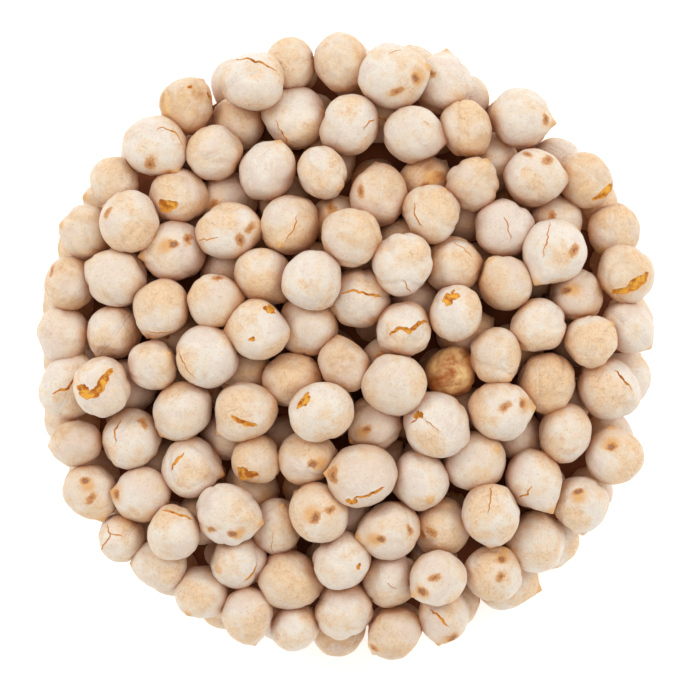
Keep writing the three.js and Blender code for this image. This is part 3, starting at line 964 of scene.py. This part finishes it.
def skin_material():
    n = Nodes("roasted_chickpea_skin")
    coarse = n.math("MULTIPLY_ADD", n.field("hue"), 0.07, n.noise(0.16, 3))
    middle = n.noise(0.55, 5, 0.62)
    fine = n.noise(2.6, 4, 0.65)
    streaks = n.noise(0.9, 3, 0.5, 2.2)
    lines = n.noise(0.3, 2, 0.5, 0.4)
    mottle = n.noise(1.1, 5, 0.7, 1.6)

    tone = n.math("ADD", n.field("tone"), n.math("MULTIPLY_ADD", middle, 2.8, -1.4))
    colour = n.mix(n.within(tone, -0.9, 0.8), CREAM_SKIN, PINK_SKIN)
    colour = n.mix(n.math("MULTIPLY", n.within(tone, 0.3, 1.8), 0.8), colour, BROWN_SKIN)
    colour = n.mix(n.math("MULTIPLY", n.within(coarse, 0.44, 0.68), 0.8), colour, YELLOW_SKIN)
    colour = n.mix(n.math("MULTIPLY", n.within(coarse, 0.5, 0.36), 0.6), colour, ROSY_SKIN)
    colour = n.mix(n.math("MULTIPLY", n.within(streaks, 0.5, 0.8), 0.5), colour, CHALK)
    colour = n.mix(n.math("MULTIPLY", n.within(fine, 0.52, 0.75), 0.5), colour, BROWN_SKIN)
    mottled = n.math("MULTIPLY", n.within(mottle, 0.5, 0.62), n.within(coarse, 0.5, 0.62))
    colour = n.mix(n.math("MULTIPLY", mottled, 0.45), colour, MOTTLE_TAN)
    veins = n.math("MULTIPLY", line_at(n, lines, 0.5, 0.008), n.within(coarse, 0.46, 0.62))
    colour = n.mix(n.math("MULTIPLY", veins, 0.28), colour, LINE_TAN)
    wander = n.math("MULTIPLY_ADD", middle, 0.24, n.math("ADD", n.field("across"), -0.12))
    furrow = n.math("MULTIPLY", line_at(n, wander, 0.0, 0.06), n.field("back"))
    colour = n.mix(n.math("MULTIPLY", furrow, 0.4), colour, CHALK)
    ripples = n.math("SINE", n.math("MULTIPLY", lines, 50.0))
    rippled = n.math("MULTIPLY", ripples, n.within(n.noise(0.21, 2), 0.5, 0.62))
    colour = n.mix(n.math("MULTIPLY", n.within(rippled, 0.2, 1.0), 0.15), colour, CHALK)
    colour = n.mix(n.math("MULTIPLY", n.within(rippled, -0.2, -1.0), 0.1), colour, LINE_TAN)
    colour = n.mix(n.math("MULTIPLY", n.field("beak"), 0.4), colour, YELLOW_SKIN)
    colour = n.mix(n.math("MULTIPLY", n.within(n.field("beak"), 0.6, 0.95), 0.7), colour, EYE_SMUDGE)
    colour = n.mix(n.math("MULTIPLY", n.within(n.field("seam"), 0.5, 0.15), 0.7), colour, CHALK)
    toasted = n.mix(n.within(n.noise(0.14, 6, 0.68, 0.7), 0.37, 0.62), TOASTED_SKIN, TOASTED_GOLD)
    colour = n.mix(n.within(n.field("tone"), 1.2, 1.5), colour, toasted)

    ragged = n.math("MULTIPLY_ADD", middle, 1.6, -0.8)
    spot = n.math("ADD", n.math("ADD", n.field("spot"), ragged), n.math("MULTIPLY_ADD", streaks, 1.4, -0.7))
    colour = n.mix(n.math("MULTIPLY", n.within(spot, 2.0, 0.8), 0.6), colour, EYE_SMUDGE)
    colour = n.mix(n.math("MULTIPLY", n.within(spot, 1.4, 0.8), 0.85), colour, SPOT_TAN)
    colour = n.mix(n.math("MULTIPLY", n.within(spot, 0.65, 0.1), 0.8), colour, SPOT_DARK)
    smudge = n.within(n.math("ADD", n.field("smudge"), ragged), 2.9, 0.4)
    colour = n.mix(n.math("MULTIPLY", smudge, 0.85), colour, EYE_SMUDGE)
    ring = n.math("ADD", n.field("eye"), n.math("ADD", ragged, n.math("MULTIPLY_ADD", streaks, 1.2, -0.6)))
    colour = n.mix(n.math("MULTIPLY", n.within(ring, 1.35, 0.85), 0.85), colour, EYE_RING)
    colour = n.mix(n.math("MULTIPLY", n.within(ring, 0.75, 0.5), 0.85), colour, EYE_DARK)
    colour = n.mix(n.math("MULTIPLY", n.within(ring, 0.4, 0.1), 0.7), colour, EYE_MIDDLE)

    opened = n.math("ADD", n.field("opened"), n.math("MULTIPLY_ADD", fine, 0.08, -0.04))
    inside = n.mix(n.within(n.noise(0.7, 3, 0.55), 0.42, 0.62), INSIDE_GOLD, INSIDE_DEEP)
    inside = n.mix(n.within(opened, 0.0, 0.16), INSIDE_EDGE, inside)
    colour = n.mix(n.within(opened, -0.04, 0.02), colour, inside)

    # Painted shade: the skin is drawn browner, and darkest brown, where neighbouring peas crowd it, standing
    # in for the shade and warm bounce light between peas.
    painted_shade = n.within(n.field("painted_crowding_shade"), 0.1, 1.3)
    colour = n.mix(n.math("MULTIPLY", painted_shade, 0.75), colour, PAINTED_SHADE_BROWN)
    colour = n.mix(n.math("MULTIPLY", n.within(n.field("painted_crowding_shade"), 1.2, 2.4), 0.6), colour, PAINTED_DEEP_SHADE_BROWN)
    n.link(colour, n.shader.inputs["Base Color"])

    n.link(n.math("MULTIPLY_ADD", fine, 0.2, 0.58), n.shader.inputs["Roughness"])
    rough = n.bump(n.noise(5, 3, 0.6), 0.05, 0.5)
    wrinkled = n.bump(n.noise(0.8, 6, 0.62, 0.8), 0.3, 0.75, rough)
    lined = n.math("MULTIPLY_ADD", veins, -0.5, n.math("MULTIPLY_ADD", rippled, 0.18, furrow))
    ridged = n.bump(lined, 0.08, 0.8, wrinkled)
    n.link(ridged, n.shader.inputs["Normal"])
    n.shader.inputs["Subsurface Weight"].default_value = 0.08
    n.shader.inputs["Subsurface Radius"].default_value = (0.9, 0.65, 0.4)
    n.shader.inputs["Subsurface Scale"].default_value = 0.8 * MM
    n.shader.inputs["Specular IOR Level"].default_value = 0.3
    n.shader.inputs["Sheen Weight"].default_value = 0.1
    n.shader.inputs["Sheen Roughness"].default_value = 0.5
    return n.material


def core_material():
    n = Nodes("heap_inside_painted_shade")
    # The core's dark brown is painted shade: it stands in for shaded peas deep in the heap.
    colour = n.mix(n.noise(0.4, 5), CORE_PAINTED_SHADE_DARK, CORE_PAINTED_SHADE_BROWN)
    n.link(colour, n.shader.inputs["Base Color"])
    n.shader.inputs["Roughness"].default_value = 0.9
    return n.material


# ======== Floor, light and camera ========

LENS = 120  # mm
SENSOR = 36
PIXELS = 700
PIXELS_TO_MM = 6.0
RIM_LEVEL = 13  # mm above the table, where the outline of the heap lies
VIEW_MIDDLE = (0.75, -0.33)  # mm, the middle of the picture
ROOM_LIGHT = 0.8
SOFTBOX_OUT, SOFTBOX_BACK, SOFTBOX_UP = 0.45, 0.3, 0.5  # metres
SOFTBOX_SIZE = 0.3  # metres
SOFTBOX_POWER = 1.1  # watts
FLOOR_SIZE = 4  # metres


def make_floor():
    bpy.ops.mesh.primitive_plane_add(size=FLOOR_SIZE, location=(0, 0, 0))
    floor = bpy.context.object
    floor.name = "floor"
    n = Nodes("white_floor")
    n.shader.inputs["Base Color"].default_value = (0.9, 0.9, 0.9, 1)
    n.shader.inputs["Roughness"].default_value = 0.8
    n.shader.inputs["Emission Color"].default_value = (1, 1, 1, 1)
    n.shader.inputs["Emission Strength"].default_value = 0.4
    floor.data.materials.append(n.material)


def make_light():
    world = bpy.data.worlds.new("soft_room")
    bpy.context.scene.world = world
    world.use_nodes = True
    world.node_tree.nodes["Background"].inputs["Color"].default_value = (1, 0.985, 0.965, 1)
    world.node_tree.nodes["Background"].inputs["Strength"].default_value = ROOM_LIGHT
    for name, side in (("softbox_left", -1), ("softbox_right", 1)):
        place = (side * SOFTBOX_OUT, SOFTBOX_BACK, SOFTBOX_UP)
        lamp = bpy.data.lights.new(name, "AREA")
        lamp.shape = "DISK"
        lamp.size = SOFTBOX_SIZE
        lamp.energy = SOFTBOX_POWER
        box = bpy.data.objects.new(name, lamp)
        box.location = place
        box.rotation_euler = (-Vector(place)).to_track_quat("-Z", "Y").to_euler()
        bpy.context.collection.objects.link(box)


def make_camera():
    width = PIXELS / PIXELS_TO_MM
    away = width * LENS / SENSOR
    camera = bpy.data.cameras.new("camera")
    camera.lens = LENS
    camera.sensor_width = SENSOR
    camera.clip_start = 0.01
    holder = bpy.data.objects.new("camera", camera)
    holder.location = (VIEW_MIDDLE[0] * MM, VIEW_MIDDLE[1] * MM, (RIM_LEVEL + away) * MM)
    bpy.context.collection.objects.link(holder)
    bpy.context.scene.camera = holder


make_camera()
make_floor()
make_light()
bpy.context.scene.view_settings.view_transform = "Standard"

peas = heap_peas()
draw_looks(peas)
skin = skin_material()
for piece in make_pieces(peas).values():
    piece.data.materials.append(skin)
    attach(piece, "root")
    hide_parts(NODE)
core = make_core()
core.data.materials.append(core_material())
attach(core, "root")
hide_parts(NODE)
